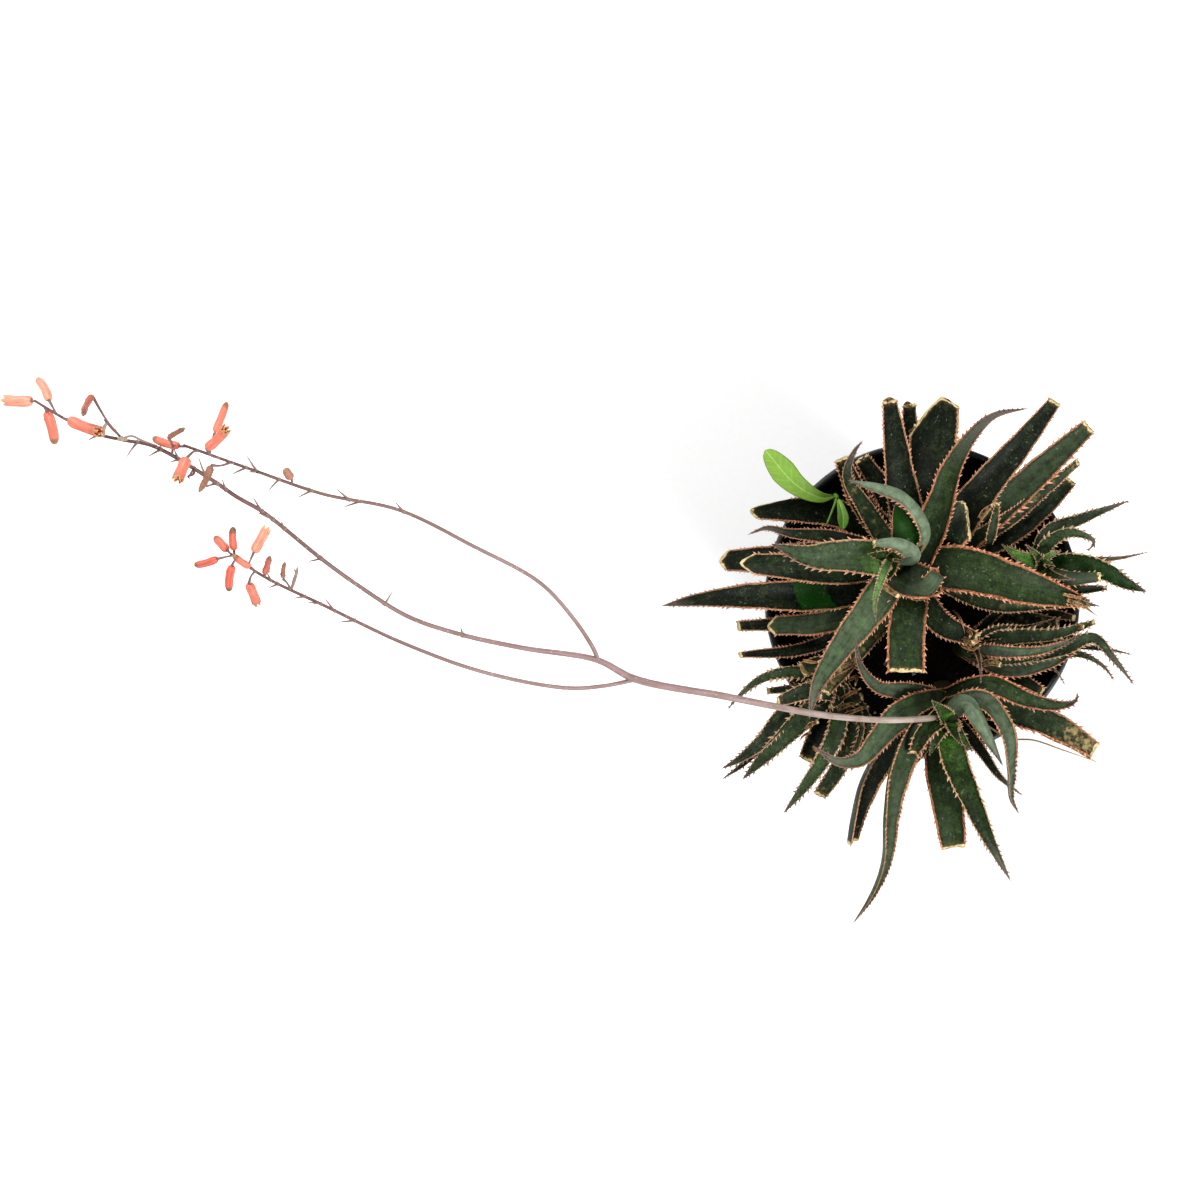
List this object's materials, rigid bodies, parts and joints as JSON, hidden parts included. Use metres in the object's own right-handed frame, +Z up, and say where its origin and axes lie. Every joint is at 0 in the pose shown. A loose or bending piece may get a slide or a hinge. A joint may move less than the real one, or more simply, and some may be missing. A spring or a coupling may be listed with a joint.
{
  "type": "potted coral fire aloe",
  "caption": "Clump of toothed aloe rosettes with trimmed leaves and a leaning branched flower stalk, growing in a round black nursery pot.",
  "frame": {"origin": "middle of the pot's underside", "axes": "+Z up along the pot's axis, -X towards the tip of the leaning flower stalk, +Y away from the head that bears the stalk"},
  "size_m": [0.4856, 0.2557, 0.4251],
  "materials": {
    "leaf_green": "satin waxy skin",
    "pup_green": "satin waxy skin",
    "stalk": "satin",
    "flower": "satin petals",
    "flower_dry": "matte, dried",
    "weed": "satin",
    "pot": "satin moulded plastic",
    "soil": "matte, loose"
  },
  "bodies": {
    "root": {"head_main": "leaf_green", "head_front": "leaf_green", "pup_east": "pup_green", "pup_south_east": "pup_green", "pup_south_west": "pup_green", "flower_stalk": "stalk", "flower_01": "flower", "flower_02": "flower", "flower_03": "flower", "flower_04": "flower", "flower_05": "flower_dry", "flower_06": "flower", "flower_07": "flower_dry", "flower_08": "flower", "flower_09": "flower", "flower_10": "flower", "flower_11": "flower_dry", "flower_12": "flower", "flower_13": "flower", "flower_14": "flower", "flower_15": "flower", "flower_16": "flower", "flower_17": "flower", "flower_18": "flower", "flower_19": "flower", "flower_20": "flower_dry", "flower_21": "flower_dry", "weed": "weed", "pot": "pot", "soil": "soil"}
  },
  "joints": []
}
